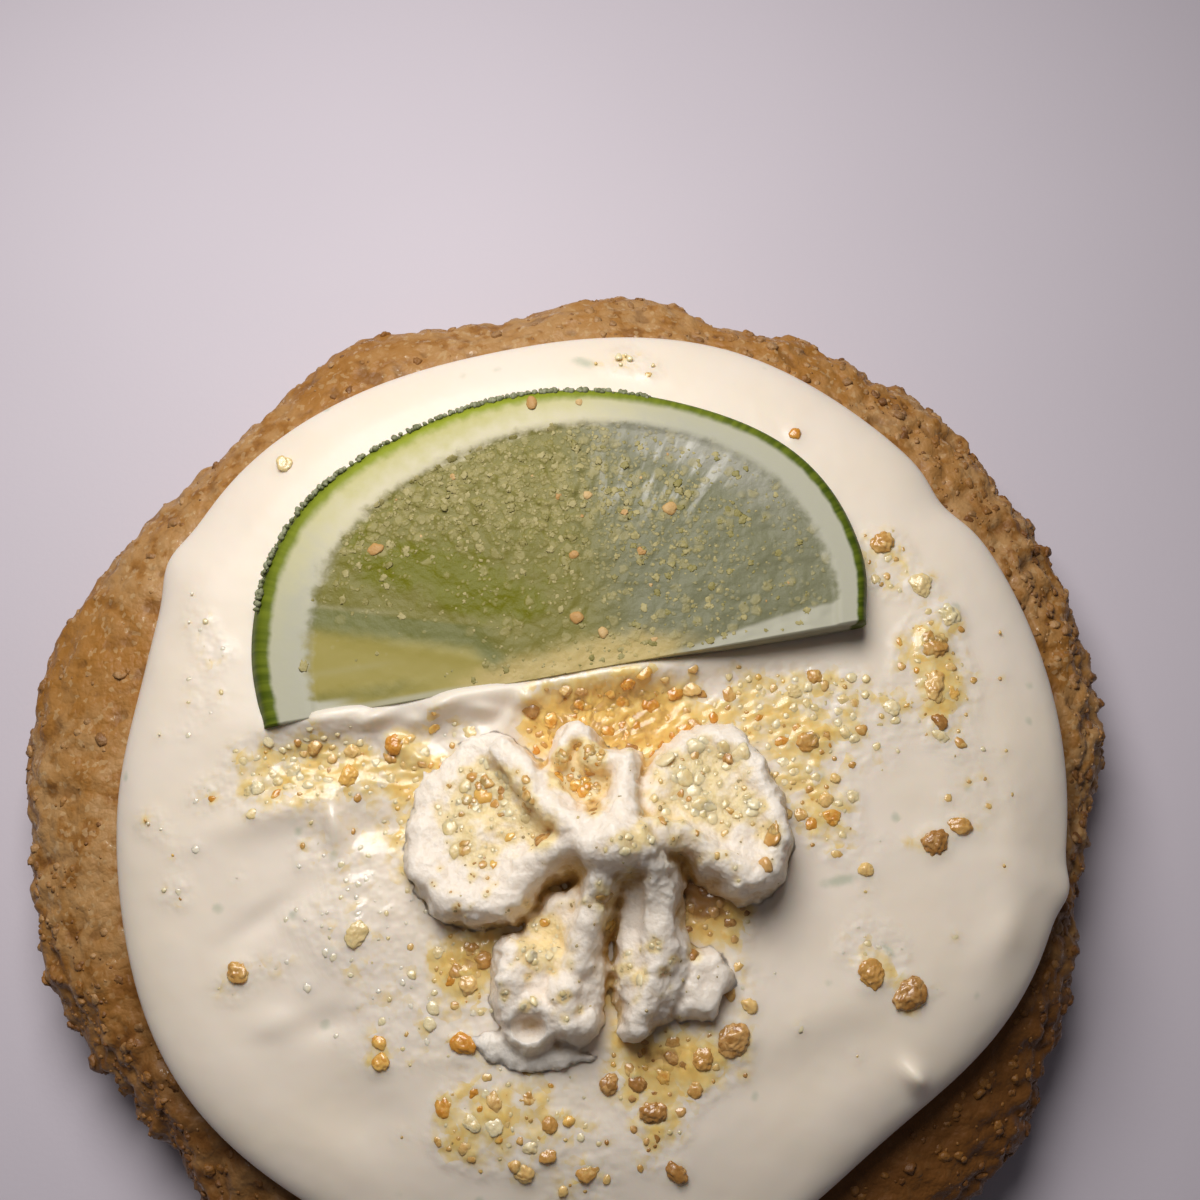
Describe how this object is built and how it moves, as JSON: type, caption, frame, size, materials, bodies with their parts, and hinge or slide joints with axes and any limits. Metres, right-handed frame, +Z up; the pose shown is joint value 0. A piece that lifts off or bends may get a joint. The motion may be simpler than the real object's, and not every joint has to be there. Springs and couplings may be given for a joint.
{
  "type": "key lime pie cookie",
  "caption": "Thick crumbly round cookie with a layer of lime cream, a half slice of lime, a piped swirl of whipped cream and cookie crumbs.",
  "frame": {"origin": "middle of the object's bounds at the flat underside of the cookie, where it rests", "axes": "+Z up out of the table, +Y towards the lime slice, +X to the right as seen from the whipped cream's side"},
  "size_m": [0.1096, 0.1081, 0.0335],
  "materials": {
    "cookie": "matte, crumbly baked dough",
    "lime_cream": "glossy, soft set cream",
    "lime": "moist cut fruit",
    "whipped_cream": "satin, slightly torn whipped cream"
  },
  "bodies": {
    "root": {"cookie_base": "cookie", "lime_cream": "lime_cream", "lime_slice": "lime", "whipped_cream": "whipped_cream"}
  },
  "joints": []
}
